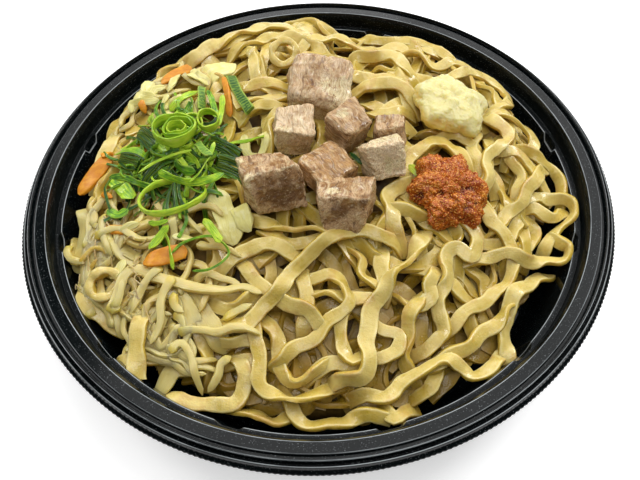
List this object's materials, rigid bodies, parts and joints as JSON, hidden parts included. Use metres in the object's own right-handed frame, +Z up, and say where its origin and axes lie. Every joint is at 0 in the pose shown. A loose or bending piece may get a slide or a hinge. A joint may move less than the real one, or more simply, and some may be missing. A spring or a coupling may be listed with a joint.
{
  "type": "plate of mazesoba",
  "caption": "Round black deep plate heaped with thick soupless noodles, simmered pork cubes, grated garlic, chili paste, cut spring onion and vegetables.",
  "frame": {"origin": "centre of the underside of the plate, on the table", "axes": "+Z up; +X to the right and +Y away from the eater, as in the picture"},
  "size_m": [0.2296, 0.2296, 0.0622],
  "materials": {
    "plate": "smooth black formed sheet, half gloss",
    "noodle": "moist, lightly oiled",
    "sprout": "moist, slightly clear",
    "pork": "moist fibrous meat with pale fat",
    "garlic": "wet grated pulp",
    "chili_paste": "wet coarse paste",
    "onion": "fresh, waxy",
    "carrot": "moist, cooked",
    "cabbage": "moist, slightly clear"
  },
  "bodies": {
    "root": {"plate": "plate", "pork_1": "pork", "pork_2": "pork", "pork_3": "pork", "pork_4": "pork", "pork_5": "pork", "pork_6": "pork", "pork_7": "pork", "pork_8": "pork", "garlic": "garlic", "chili_paste": "chili_paste", "onion_leaf": "onion", "carrot_1": "carrot", "carrot_2": "carrot", "carrot_3": "carrot", "carrot_4": "carrot", "carrot_5": "carrot", "cabbage_1": "cabbage", "cabbage_2": "cabbage", "cabbage_3": "cabbage", "cabbage_4": "cabbage", "spring_onion": "onion", "sprouts": "sprout", "noodles": "noodle"}
  },
  "joints": []
}
